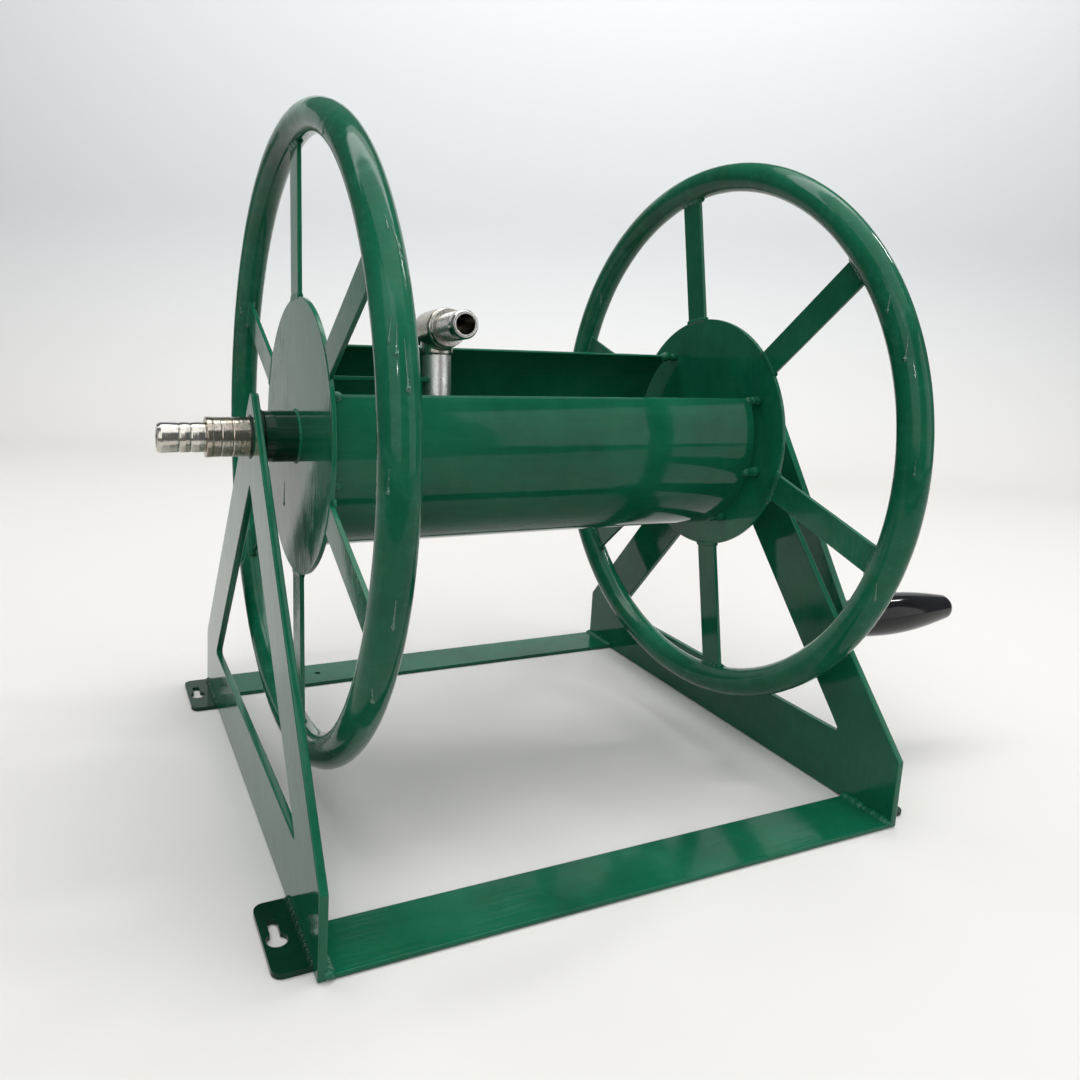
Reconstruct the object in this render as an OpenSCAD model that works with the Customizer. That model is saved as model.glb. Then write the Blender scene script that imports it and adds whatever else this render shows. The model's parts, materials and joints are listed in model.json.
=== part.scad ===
// Wall mounted hose reel: a welded frame, a spoked reel with an open drum, a hollow water
// axle with a swivel inlet, and a crank with a turning grip.
// X runs along the axle from the inlet to the crank, +Y points up the wall and +Z points
// away from it. The origin is the middle of the four keyholes, on the wall face.

/* [Side plates] */
// Thickness of a side plate
plate_t = 5; // [3:0.5:8]
// Length of a side plate along the wall
plate_depth = 385; // [320:1:480]
// Rise of a plate's apex above the axle
apex_rise = 31; // [28:0.5:45]
// Height of a plate's upright ends
end_h = 47; // [30:1:60]
// Width of a plate's sloping legs
leg_w = 40; // [30:1:50]
// Height of a plate's bottom member, below the window
sill_h = 45; // [30:1:60]
// Rounding of the apex
apex_r = 5; // [1:0.5:12]
// Rounding of the window's corners
window_r = 2.5; // [1:0.5:8]

/* [Rails and ears] */
// Width of a flat bar rail
rail_w = 40; // [25:1:60]
// Thickness of a rail
rail_t = 3; // [2:0.5:6]
// Diameter of the small hole in the rear rail
rail_hole_d = 5; // [3:0.5:10]
// Distance of that hole from the left plate
rail_hole_in = 89; // [20:1:160]
// Reach of an ear beyond its plate
ear_w = 20; // [16:0.5:40]
// Length of an ear along its plate
ear_l = 57; // [40:1:80]
// Thickness of an ear
ear_t = 3; // [2:0.5:6]
// Rounding of an ear's outer corners
ear_r = 6; // [2:0.5:10]
// Diameter of a keyhole's round end, which passes the screw's head
key_d = 11.5; // [8:0.5:14]
// Width of a keyhole's slot
key_slot_w = 5.4; // [3:0.1:7]
// Distance from the round end's centre to the slot's last centre
key_run = 13.5; // [9:0.5:18]
// Distance of a keyhole from its plate
key_out = 12.5; // [9:0.5:24]
// Distance of a keyhole's round end from the plate's end line
key_in = 34.5; // [20:0.5:60]
// How far the front keyholes' ears lie behind the round end
ear_lead = 3; // [0:0.5:6]

/* [Wheels] */
// Outside diameter of a wheel
wheel_od = 420; // [340:1:560]
// Distance between the two wheels' middle planes
wheel_gap = 333; // [240:1:480]
// Gap between a rim and the wall
rim_clear = 35; // [15:1:80]
// Outside diameter of the rim tube
rim_d = 21.3; // [16:0.1:30]
// Wall of the rim tube
rim_wall = 2; // [1:0.1:4]
// Diameter of a hub disc
disc_d = 182; // [160:1:240]
// Thickness of a hub disc
disc_t = 3; // [2:0.5:6]
// Number of spokes in a wheel
spoke_n = 6; // [4:1:8]
// Width of a spoke bar
spoke_w = 20; // [15:0.5:35]
// Thickness of a spoke bar
spoke_t = 3; // [2:0.5:6]
// Angle that the right wheel is welded ahead of the left one
wheel_skew = 5.5; // [0:0.5:15]
// Angle that the reel is parked at, leaning towards +Y
reel_turn = 6; // [0:1:15]
// Room between the left disc and the left plate
left_room = 24.5; // [15:0.5:50]
// Room between the right disc and the right plate
right_room = 29.5; // [15:0.5:50]

/* [Drum] */
// Outside diameter of the rolled sheet
drum_d = 145; // [110:1:150]
// Thickness of the sheet
drum_t = 2; // [1:0.5:4]
// Angle of the mouth's front lip above the axle's level
lip_front = 22; // [0:1:60]
// Angle of the mouth's rear lip above the axle's level
lip_rear = 62; // [20:1:70]
// Gap between the sheet and the left disc, bridged by weld tacks
left_gap = 4.5; // [2:0.5:14]
// Gap between the sheet and the right disc, bridged by weld tacks
right_gap = 9.5; // [2:0.5:14]
// Number of weld tacks at each end of the sheet
tack_n = 7; // [3:1:9]
// Diameter of a weld tack at its ends
tack_d = 6.4; // [4:0.2:10]

/* [Axle and bearings] */
// Outside diameter of the axle, both the water pipe and the crank's spindle
axle_d = 21.3; // [16:0.1:27]
// Bore of the water pipe
pipe_bore = 15.6; // [10:0.1:16]
// Wall of a bearing bush
bush_wall = 3.3; // [2:0.1:5]
// Width of a bush's flange
bush_rim = 4; // [2:0.5:6]
// Thickness of a bush's flange
bush_flange_t = 2; // [1:0.5:4]
// How far a bush stands out of its plate
bush_proud = 0.5; // [0.5:0.5:5]
// Wall of a hub sleeve
sleeve_wall = 6.15; // [3:0.05:8]
// Length of the spindle inside the right disc
spindle_in = 10; // [4:1:30]

/* [Inlet swivel] */
// Length of the axle pipe inside the swivel's collar
pipe_in = 20; // [18:0.5:30]
// Wall of the collar round the pipe
collar_wall = 2.3; // [2:0.1:5]
// Length of the collar's solid end
collar_end = 6.5; // [4:0.5:12]
// Width and depth of a scored line on the collar
score_w = 1.2; // [0.6:0.1:2]
// Outside diameter of the hose barb
barb_d = 19.5; // [14:0.1:24]
// Length of the hose barb
barb_l = 29; // [24:1:50]
// Bore of the hose barb
barb_bore = 12; // [6:0.5:13]
// Diameter of the barb's spigot in the collar
spigot_d = 16; // [14.5:0.1:18]
// Depth of a groove between the barb's rings
barb_groove = 0.9; // [0.4:0.1:1.5]
// Section of an O-ring seal
seal_d = 1.8; // [1.2:0.1:2]
// Section of the wire clip that holds the collar
clip_d = 1.2; // [1:0.1:2]

/* [Riser and outlet] */
// Distance of the riser from the left disc
riser_in = 97.5; // [50:0.5:200]
// Outside diameter of the riser pipe
riser_d = 20; // [16:0.1:24]
// Bore of the riser pipe
riser_bore = 14; // [8:0.5:15]
// Height of the outlet's axis above the axle
outlet_rise = 73.5; // [62:0.5:110]
// Distance of the outlet's nose from the riser's axis
outlet_reach = 50; // [36:1:80]
// Diameter of the outlet elbow's barrel
outlet_body_d = 28; // [24:0.5:36]
// Length of that barrel ahead of the riser's axis
outlet_front = 19; // [15:0.5:26]
// Length of that barrel behind the riser's axis
outlet_back = 13; // [12:0.5:20]
// Diameter of the outlet nipple's flange
nipple_flange_d = 26; // [22:0.5:34]
// Outside diameter of the outlet nipple
nipple_d = 19.5; // [17:0.1:22]
// Bore of the outlet nipple
nipple_bore = 13.5; // [8:0.5:14]
// Wall of the axle elbow round the pipe
elbow_wall = 3.3; // [2:0.1:6]
// Wall of an elbow's boss round the riser
boss_wall = 1.4; // [1:0.1:4]
// Height of the stay's upper face above the axle
stay_h = 40; // [30:1:46]
// Width of the stay bar
stay_w = 16; // [10:1:30]
// Thickness of the stay bar
stay_t = 3; // [2:0.5:6]
// How far the stay's hollowed end reaches round the riser
stay_lap = 1.5; // [1:0.5:8]

/* [Crank] */
// Distance of the crank arm from the right plate
arm_out = 33.5; // [25:0.5:60]
// Width of the crank arm
arm_w = 30; // [28:1:45]
// Thickness of the crank arm
arm_t = 6; // [4:0.5:10]
// Distance from the axle to the grip's axis
crank_r = 164; // [100:1:180]
// Angle of the arm from straight down, towards -Y
crank_angle = 27; // [0:1:60]
// Length of the grip
grip_l = 118; // [80:1:140]
// Radius of the grip beside the arm
grip_root_r = 13; // [10:0.5:18]
// Radius of the grip at its tip
grip_tip_r = 9.5; // [9:0.5:16]
// Swell of the grip at mid length
grip_swell = 5.25; // [2:0.25:10]
// Diameter of the grip's pin
pin_d = 10; // [6:0.5:12]
// Diameter of the pin's head
pin_head_d = 14; // [12:0.5:16]

/* [Fits] */
// Radial clearance of a turning fit
run_gap = 0.05; // [0.02:0.01:0.1]
// Radial clearance of a welded or pressed seat
seat_gap = 0.05; // [0.02:0.01:0.1]
// End clearance between turning pieces
end_gap = 0.5; // [0.3:0.1:0.9]

/* [Hidden] */
$fn = 72;
enamel = [0.03, 0.30, 0.19];
nickel = [0.74, 0.73, 0.70];
nylon = [0.06, 0.06, 0.06];
steel = [0.55, 0.56, 0.57];
SIDES = ["left", "right"];

// Places along X: a side is -1 on the left and 1 on the right
inner_w = wheel_gap + disc_t + left_room + right_room;
plate_in = inner_w / 2;
plate_out = plate_in + plate_t;
reel_mid = (left_room - right_room) / 2;
function wheel_x(side) = reel_mid + side * wheel_gap / 2;
function disc_face(side) = wheel_x(side) - side * disc_t / 2;
arm_x = plate_out + arm_out;
riser_x = disc_face(-1) + riser_in;

// Heights and outlines
axle_h = wheel_od / 2 + rim_clear;
apex_h = axle_h + apex_rise;
half_depth = plate_depth / 2;
leg_a = atan2(apex_h - end_h, half_depth);
window_top = apex_h - leg_w / cos(leg_a);
window_half = (window_top - sill_h) / tan(leg_a);
key_y = half_depth - key_in;

// Wheel, axle and drum sizes
rim_c = (wheel_od - rim_d) / 2;
bush_d = axle_d + 2 * run_gap + 2 * bush_wall;
sleeve_d = axle_d + 2 * seat_gap + 2 * sleeve_wall;
drum_x = disc_face(-1) + left_gap;
drum_l = disc_face(1) - right_gap - drum_x;
mouth_start = -90 - lip_front;
drum_arc = 180 + lip_front + lip_rear;
tack_inset = 1.5;

// Inlet swivel: distances run outwards from the collar's inner face
collar_x = -(plate_out + bush_proud + end_gap);
collar_l = pipe_in + end_gap + collar_end;
collar_d = axle_d + 2 * run_gap + 2 * collar_wall;
pipe_end = collar_x - pipe_in;
seal_at = [5, 9];
clip_at = 14.5;
score_at = [11, 18];
groove_at = [9.2, 16.2];
groove_w = 2;
barb_tip = 2.5;
groove_slack = 0.3;

// Elbows and nipple
axle_elbow_d = axle_d + 2 * seat_gap + 2 * elbow_wall;
axle_socket = 14;
axle_elbow_front = axle_socket + riser_d / 2 + 2;
axle_elbow_back = axle_elbow_d / 2;
axle_boss_l = axle_elbow_d / 2 + 10;
riser_seat = 8;
outlet_boss_l = outlet_body_d / 2 + 4;
boss_d = riser_d + 2 * seat_gap + 2 * boss_wall;
nipple_seat = 10;
nipple_spigot_d = nipple_d - 1.5;
nipple_flange_t = 4;
chamfer = 1.5;
boss_edge = boss_wall / 2;

// Grip and its pin
washer_t = 2;
washer_d = 2 * pin_d + 2;
nut_h = 0.8 * pin_d;
nut_af = 1.7 * pin_d;
pin_tail = 2;
head_h = 5;
grip_x = arm_x + arm_t + washer_t + end_gap;
head_x = grip_x + grip_l - head_h - end_gap;
grip_steps = 16;

function spoke_names(side) = [for (i = [1 : spoke_n]) str(side, "_spoke_", i)];

// Outline points with each corner rounded to its own radius
function unit(v) = v / norm(v);
function corner_arc(a, p, b, r, n = 6) =
    r == 0 ? [p] :
    let (u = unit(a - p), w = unit(b - p), half = acos(u * w) / 2)
    let (c = p + unit(u + w) * r / sin(half), s = p + u * r / tan(half) - c)
    let (e = p + w * r / tan(half) - c, from = atan2(s.y, s.x))
    let (sweep = sign(cross(s, e)) * (180 - 2 * half))
    [for (i = [0 : n]) c + r * [cos(from + sweep * i / n), sin(from + sweep * i / n)]];
function rounded(pts, radii) =
    let (n = len(pts))
    [for (i = [0 : n - 1])
        each corner_arc(pts[(i + n - 1) % n], pts[i], pts[(i + 1) % n], radii[i])];

// Child's Z axis laid along X, starting at x
module along_x(x) {
    translate([x, 0, 0]) rotate([0, 90, 0]) children();
}

// Child placed on the axle's line
module on_axle() {
    translate([0, 0, axle_h]) children();
}

// Child placed on the reel at its parked angle
module on_reel() {
    on_axle() rotate([-reel_turn, 0, 0]) children();
}

// Tube or bar along X between two places, in either order
module tube_x(x0, x1, d, bore = 0) {
    along_x(min(x0, x1)) difference() {
        cylinder(d = d, h = abs(x1 - x0));
        if (bore > 0) translate([0, 0, -1]) cylinder(d = bore, h = abs(x1 - x0) + 2);
    }
}

// Ring cut into, or sitting on, an axle line
module ring_x(x, d, bore, w) {
    tube_x(x - w / 2, x + w / 2, d, bore);
}

module plate_outline() {
    difference() {
        polygon(rounded(
            [[half_depth, 0], [half_depth, end_h], [0, apex_h], [-half_depth, end_h], [-half_depth, 0]],
            [0, 0, apex_r, 0, 0]));
        polygon(rounded(
            [[window_half, sill_h], [0, window_top], [-window_half, sill_h]],
            [window_r, window_r, window_r]));
    }
}

module side_plate(side) {
    color(enamel) difference() {
        translate([side > 0 ? plate_in : -plate_out, 0, 0])
            rotate([90, 0, 90]) linear_extrude(plate_t) plate_outline();
        on_axle() ring_x(side * (plate_in + plate_t / 2), bush_d + 2 * seat_gap, 0, 3 * plate_t);
    }
}

module rail(end) {
    translate([-plate_in, end > 0 ? half_depth - rail_w : -half_depth, 0])
        cube([inner_w, rail_w, rail_t]);
}

module front_rail() {
    color(enamel) rail(-1);
}

module rear_rail() {
    color(enamel) difference() {
        rail(1);
        translate([rail_hole_in - plate_in, half_depth - rail_w / 2, -1])
            cylinder(d = rail_hole_d, h = rail_t + 2);
    }
}

// Tab with a keyhole whose slot runs up the wall from the round end
module ear(side, end) {
    half_l = ear_l / 2;
    color(enamel) translate([side * plate_out, end * key_y, 0]) difference() {
        mirror([side < 0 ? 1 : 0, 0, 0]) translate([0, ear_lead, 0]) linear_extrude(ear_t)
            polygon(rounded([[0, -half_l], [ear_w, -half_l], [ear_w, half_l], [0, half_l]], [0, ear_r, ear_r, 0]));
        translate([side * key_out, 0, -1]) {
            cylinder(d = key_d, h = ear_t + 2);
            translate([0, key_run, 0]) cylinder(d = key_slot_w, h = ear_t + 2);
            translate([-key_slot_w / 2, 0, 0]) cube([key_slot_w, key_run, ear_t + 2]);
        }
    }
}

// Plain bearing with its flange against the plate's inner face
module bush(side) {
    bore = axle_d + 2 * run_gap;
    color(nylon) on_axle() {
        tube_x(side * plate_in, side * (plate_out + bush_proud), bush_d, bore);
        tube_x(side * (plate_in - bush_flange_t), side * plate_in, bush_d + 2 * bush_rim, bore);
    }
}

module rim(side) {
    color(enamel) on_reel() along_x(wheel_x(side)) rotate_extrude() translate([rim_c, 0]) difference() {
        circle(d = rim_d);
        circle(d = rim_d - 2 * rim_wall);
    }
}

module disc(side) {
    color(enamel) on_reel() ring_x(wheel_x(side), disc_d, axle_d + 2 * seat_gap, disc_t);
}

// Flat bar cut to the disc's edge and to the rim tube
module spoke(side, i) {
    lean = side > 0 ? wheel_skew : 0;
    start = disc_d / 2 - 3;
    color(enamel) on_reel() along_x(wheel_x(side)) rotate(180 - lean + 360 / spoke_n * (i - 1)) difference() {
        translate([start, -spoke_w / 2, -spoke_t / 2]) cube([rim_c - start, spoke_w, spoke_t]);
        cylinder(d = disc_d + 2 * seat_gap, h = 3 * spoke_t, center = true);
        rotate_extrude() translate([rim_c, 0]) circle(d = rim_d + 2 * seat_gap);
    }
}

// Rolled sheet, open along its mouth
module drum_shell() {
    color(enamel) on_reel() along_x(drum_x) rotate(mouth_start)
        rotate_extrude(angle = drum_arc) translate([drum_d / 2 - drum_t, 0]) square([drum_t, drum_l]);
}

// Barrel-shaped weld tacks between the sheet's end and a disc
module tacks(side) {
    step = (drum_arc - 2 * tack_inset) / (tack_n - 1);
    gap = side > 0 ? right_gap : left_gap;
    swell = norm([tack_d, gap]);
    color(enamel) on_reel() along_x(side > 0 ? disc_face(1) - gap : disc_face(-1))
        for (k = [0 : tack_n - 1])
            rotate(mouth_start + tack_inset + k * step) translate([drum_d / 2 - drum_t / 2, 0, 0])
                rotate_extrude() intersection() {
                    translate([0, gap / 2]) circle(d = swell);
                    square([swell, gap]);
                }
}

module sleeve(side) {
    color(enamel) on_reel() tube_x(side * (plate_in - bush_flange_t - end_gap),
        wheel_x(side) + side * disc_t / 2, sleeve_d, axle_d + 2 * seat_gap);
}

// Hollow axle with grooves for the seals and the clip at its swivel end
module axle_pipe() {
    bottom = axle_d - 2 * seal_d - 2 * seat_gap;
    color(steel) on_reel() difference() {
        tube_x(pipe_end, riser_x - axle_elbow_front + axle_socket, axle_d, pipe_bore);
        for (at = seal_at) ring_x(collar_x - at, axle_d + 1, bottom, seal_d + groove_slack);
        ring_x(collar_x - clip_at, axle_d + 1, axle_d - clip_d - 2 * seat_gap, clip_d + 2 * seat_gap);
    }
}

module swivel_seals() {
    color(nylon) on_reel() for (at = seal_at)
        along_x(collar_x - at) rotate_extrude()
            translate([axle_d / 2 - seal_d / 2, 0]) circle(d = seal_d);
}

module swivel_clip() {
    color(steel) on_reel() along_x(collar_x - clip_at) rotate_extrude()
        translate([axle_d / 2, 0]) circle(d = clip_d);
}

// Swivel body that turns on the axle's end, with two scored lines round it
module swivel_collar() {
    bore = axle_d + 2 * run_gap;
    color(nickel) on_axle() difference() {
        tube_x(collar_x - collar_l, collar_x, collar_d);
        tube_x(collar_x - pipe_in - end_gap, collar_x + 1, bore);
        tube_x(collar_x - collar_l - 1, collar_x, spigot_d + 2 * seat_gap);
        ring_x(collar_x - clip_at, axle_d + clip_d + 2 * groove_slack, 0, clip_d + 2 * groove_slack);
        for (at = score_at) ring_x(collar_x - at, collar_d + 1, collar_d - score_w, score_w);
    }
}

// Hose tail with rings, a chamfered tip and a spigot in the collar
module hose_barb() {
    face = collar_x - collar_l;
    r = barb_d / 2;
    color(nickel) on_axle() difference() {
        union() {
            tube_x(face, face + collar_end, spigot_d);
            tube_x(face - barb_l + barb_tip, face, barb_d);
            along_x(face - barb_l) cylinder(r1 = r - barb_tip / 2, r2 = r, h = barb_tip);
        }
        tube_x(face - barb_l - 1, collar_x, barb_bore);
        for (at = groove_at) ring_x(face - at, barb_d + 1, barb_d - 2 * barb_groove, groove_w);
    }
}

// Forged elbow: a barrel along Z with a closed back and a mouth, and a boss along X
module forged_elbow(barrel_d, back, front, mouth_d, mouth_depth, boss_l) {
    r = barrel_d / 2;
    difference() {
        union() {
            rotate_extrude() polygon([[0, -back], [r - chamfer, -back], [r, chamfer - back],
                [r, front - chamfer], [r - chamfer, front], [0, front]]);
            rotate([0, 90, 0]) cylinder(d = boss_d, h = boss_l - boss_edge);
            translate([boss_l - boss_edge, 0, 0]) rotate([0, 90, 0])
                cylinder(d1 = boss_d, d2 = boss_d - 2 * boss_edge, h = boss_edge);
        }
        cylinder(d = riser_bore, h = front + 1);
        rotate([0, 90, 0]) cylinder(d = riser_bore, h = boss_l + 1);
        translate([0, 0, front - mouth_depth]) cylinder(d = mouth_d, h = mouth_depth + 1);
        translate([boss_l - riser_seat, 0, 0]) rotate([0, 90, 0])
            cylinder(d = riser_d + 2 * seat_gap, h = riser_seat + 1);
    }
}

// Mouth towards the inlet, boss up
module axle_elbow() {
    color(steel) on_reel() translate([riser_x, 0, 0]) rotate([0, -90, 0])
        forged_elbow(axle_elbow_d, axle_elbow_back, axle_elbow_front,
            axle_d + 2 * seat_gap, axle_socket, axle_boss_l);
}

module riser_pipe() {
    foot = axle_boss_l - riser_seat;
    head = outlet_rise - outlet_boss_l + riser_seat;
    color(nickel) on_reel() translate([riser_x, 0, foot]) difference() {
        cylinder(d = riser_d, h = head - foot);
        translate([0, 0, -1]) cylinder(d = riser_bore, h = head - foot + 2);
    }
}

// Child's Z axis turned to the outlet's direction, with its X axis down
module at_outlet() {
    on_reel() translate([riser_x, 0, outlet_rise]) rotate([90, 0, 0]) rotate(-90) children();
}

module outlet_elbow() {
    color(nickel) at_outlet()
        forged_elbow(outlet_body_d, outlet_back, outlet_front,
            nipple_spigot_d + 2 * seat_gap, nipple_seat, outlet_boss_l);
}

// Hose nipple with a flange against the elbow and a chamfered nose
module outlet_nipple() {
    color(nickel) at_outlet() difference() {
        union() {
            translate([0, 0, outlet_front - nipple_seat]) cylinder(d = nipple_spigot_d, h = nipple_seat);
            translate([0, 0, outlet_front]) cylinder(d = nipple_flange_d, h = nipple_flange_t);
            translate([0, 0, outlet_front]) cylinder(d = nipple_d, h = outlet_reach - outlet_front - chamfer);
            translate([0, 0, outlet_reach - chamfer])
                cylinder(d1 = nipple_d, d2 = nipple_d - chamfer, h = chamfer);
        }
        cylinder(d = nipple_bore, h = outlet_reach + 1);
    }
}

// Flat bar from the left disc to the riser, hollowed at its end to seat on the pipe
module riser_stay() {
    stay_end = riser_x - riser_d / 2 - seat_gap + stay_lap;
    color(enamel) on_reel() difference() {
        translate([disc_face(-1), -stay_w / 2, stay_h - stay_t])
            cube([stay_end - disc_face(-1), stay_w, stay_t]);
        translate([riser_x, 0, 0]) cylinder(d = riser_d + 2 * seat_gap, h = outlet_rise);
    }
}

module spindle() {
    color(steel) on_reel() tube_x(disc_face(1) - spindle_in, arm_x + arm_t, axle_d);
}

// Child placed at the grip's axis, with Z along X
module at_grip(x) {
    on_reel() rotate([-crank_angle, 0, 0]) translate([0, 0, -crank_r]) along_x(x) children();
}

// Flat bar with round ends, bored for the spindle and the pin
module crank_arm() {
    color(enamel) on_reel() rotate([-crank_angle, 0, 0]) difference() {
        union() {
            translate([arm_x, -arm_w / 2, -crank_r]) cube([arm_t, arm_w, crank_r]);
            tube_x(arm_x, arm_x + arm_t, arm_w);
            translate([0, 0, -crank_r]) tube_x(arm_x, arm_x + arm_t, arm_w);
        }
        tube_x(arm_x - 1, arm_x + arm_t + 1, axle_d + 2 * seat_gap);
        translate([0, 0, -crank_r]) tube_x(arm_x - 1, arm_x + arm_t + 1, pin_d + 2 * seat_gap);
    }
}

module grip_pin() {
    color(steel) {
        at_grip(arm_x - nut_h - pin_tail) cylinder(d = pin_d, h = head_x - arm_x + nut_h + pin_tail);
        at_grip(head_x) cylinder(d = pin_head_d, h = head_h);
    }
}

module grip_washer() {
    color(steel) at_grip(arm_x + arm_t) difference() {
        cylinder(d = washer_d, h = washer_t);
        translate([0, 0, -1]) cylinder(d = pin_d + 2 * seat_gap, h = washer_t + 2);
    }
}

module grip_nut() {
    color(steel) at_grip(arm_x - nut_h) difference() {
        cylinder(d = nut_af / cos(30), h = nut_h, $fn = 6);
        translate([0, 0, -1]) cylinder(d = pin_d + 2 * seat_gap, h = nut_h + 2);
    }
}

// Barrel grip, bored for the pin and recessed for its head
module crank_grip() {
    function grip_r(t) = grip_root_r * (1 - t) + grip_tip_r * t + grip_swell * sin(180 * t);
    side = [for (i = [0 : grip_steps]) [grip_r(i / grip_steps), grip_l * i / grip_steps]];
    color(nylon) at_grip(grip_x) difference() {
        rotate_extrude() polygon(concat([[0, 0]], side, [[0, grip_l]]));
        translate([0, 0, -1]) cylinder(d = pin_d + 2 * run_gap, h = grip_l + 2);
        translate([0, 0, head_x - grip_x - end_gap]) cylinder(d = pin_head_d + 2 * end_gap, h = grip_l);
    }
}

// Number of a side by its name
function side_of(name) = name == "left" ? -1 : 1;

for (s = SIDES) {
    side = side_of(s);
    side_plate(side);
    ear(side, -1);
    ear(side, 1);
    bush(side);
    rim(side);
    disc(side);
    for (i = [1 : spoke_n])
        spoke(side, i);
    tacks(side);
    sleeve(side);
}
front_rail();
rear_rail();
drum_shell();
axle_pipe();
axle_elbow();
riser_pipe();
outlet_elbow();
outlet_nipple();
riser_stay();
spindle();
crank_arm();
grip_pin();
grip_washer();
grip_nut();
swivel_seals();
swivel_clip();
swivel_collar();
hose_barb();
crank_grip();
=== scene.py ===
import bmesh
import bpy
import json
import math
from mathutils import Matrix, Vector, noise


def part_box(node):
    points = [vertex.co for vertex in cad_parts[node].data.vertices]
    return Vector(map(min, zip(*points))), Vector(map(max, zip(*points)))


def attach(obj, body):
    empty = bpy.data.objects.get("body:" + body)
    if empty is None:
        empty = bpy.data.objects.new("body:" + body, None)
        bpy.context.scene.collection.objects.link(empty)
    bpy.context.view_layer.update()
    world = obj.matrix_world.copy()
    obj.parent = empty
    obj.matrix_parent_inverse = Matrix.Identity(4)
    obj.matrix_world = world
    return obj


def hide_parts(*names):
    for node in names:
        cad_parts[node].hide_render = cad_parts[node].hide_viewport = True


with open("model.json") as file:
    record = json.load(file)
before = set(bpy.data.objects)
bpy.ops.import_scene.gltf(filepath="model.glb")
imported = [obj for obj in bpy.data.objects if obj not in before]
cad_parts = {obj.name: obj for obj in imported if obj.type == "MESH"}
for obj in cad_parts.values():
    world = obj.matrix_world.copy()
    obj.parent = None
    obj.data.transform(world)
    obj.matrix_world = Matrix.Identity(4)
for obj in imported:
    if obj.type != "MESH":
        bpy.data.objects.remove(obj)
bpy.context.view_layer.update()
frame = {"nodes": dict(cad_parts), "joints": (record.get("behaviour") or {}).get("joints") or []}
nodes = frame["nodes"]
joints = {joint["name"]: joint for joint in frame["joints"]}
scene = bpy.context.scene
print("frame loaded:", len(nodes), "nodes")

# places that several pieces share, read from the frame
axle = Vector(joints["reel_spin"]["pos_m"])
gripAxis = Vector(joints["grip_spin"]["pos_m"])
reelTurn = math.radians(6)  # how far round from level the reel is parked
wheelLean = {"left": 0.0, "right": math.radians(5.5)}  # the right wheel is welded on out of line
sides = {"left": -1, "right": 1}
reelMatrix = Matrix.Translation(axle) @ Matrix.Rotation(-reelTurn, 4, "X")
wheelX = {side: sum(corner.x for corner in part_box(side + "_rim")) / 2 for side in sides}
tubeRadius = (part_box("left_rim")[1].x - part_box("left_rim")[0].x) / 2
rimRadius = (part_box("left_rim")[1].z - axle.z) - tubeRadius
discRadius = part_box("left_disc")[1].z - axle.z


def onReel(x, across, up):
    return reelMatrix @ Vector((x, across, up))


# materials, all on object coordinates
evenly = (1, 1, 1)  # a pattern with no direction


def newMaterial(name):
    material = bpy.data.materials.new(name)
    material.use_nodes = True
    tree = material.node_tree
    return material, tree, tree.nodes["Principled BSDF"]


def addNode(tree, kind, inputs=None, **settings):
    node = tree.nodes.new(kind)
    for key, value in settings.items():
        setattr(node, key, value)
    for key, value in (inputs or {}).items():
        if isinstance(value, bpy.types.NodeSocket):
            tree.links.new(value, node.inputs[key])
        else:
            node.inputs[key].default_value = value
    return node


def objectPattern(tree, scale):
    coord = addNode(tree, "ShaderNodeTexCoord")
    return addNode(tree, "ShaderNodeMapping", {"Vector": coord.outputs["Object"], "Scale": scale}).outputs[0]


def noiseValue(tree, scale, size, detail=3.0, rough=0.55, distortion=0.0):
    return addNode(tree, "ShaderNodeTexNoise", {
        "Vector": objectPattern(tree, scale), "Scale": size, "Detail": detail,
        "Roughness": rough, "Distortion": distortion}).outputs["Fac"]


def mapped(tree, value, given, wanted):
    return addNode(tree, "ShaderNodeMapRange", {
        "Value": value, "From Min": given[0], "From Max": given[1],
        "To Min": wanted[0], "To Max": wanted[1]}).outputs[0]


def mixedColor(tree, factor, colorA, colorB):
    mix = addNode(tree, "ShaderNodeMix", data_type="RGBA")
    for index, value in ((0, factor), (6, colorA), (7, colorB)):
        if isinstance(value, bpy.types.NodeSocket):
            tree.links.new(value, mix.inputs[index])
        else:
            mix.inputs[index].default_value = value if index == 0 else (*value, 1)
    return mix.outputs[2]


def bumpChain(tree, layers):
    normal = None
    for height, strength, distance in layers:
        bump = addNode(tree, "ShaderNodeBump", {"Height": height, "Strength": strength, "Distance": distance})
        if normal:
            tree.links.new(normal, bump.inputs["Normal"])
        normal = bump.outputs[0]
    return normal


# colours by the thickness of the coat, then the sizes and limits of the marks in it
enamelPaint = {
    "deep": (0.0040, 0.092, 0.046),
    "body": (0.0065, 0.128, 0.065),
    "thin": (0.015, 0.165, 0.090),
    "pale": (0.040, 0.205, 0.135),
    "olive": (0.030, 0.120, 0.034),
    "cloudSize": 11.0, "streakShare": 0.2, "deepToBody": (0.42, 0.62), "bodyToThin": (0.64, 0.82),
    "bloomSize": 85.0, "bloomRange": (0.5, 0.7),
    "ageScale": (1.3, 1.3, 1.3), "ageSize": 26.0, "ageRange": (0.54, 0.7),
    "speckSize": 250.0, "speckRange": (0.02, 0.1), "spreadSize": 34.0, "spreadRange": (0.52, 0.64),
    "wearSize": 23.0, "wearRange": (0.3, 0.75),
    "patchSize": 15.0, "patchRange": (0.44, 0.62), "patchLow": 0.12, "brushHeight": 0.0006,
    "sagSize": 48.0, "sagDepth": 0.1, "sagHeight": 0.001,
    "peelSize": 190.0, "peelDepth": 0.04, "peelHeight": 0.0004, "nibHeight": 0.0005,
    "refraction": 1.5, "coat": 0.08, "coatRough": 0.03,
}
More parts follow.
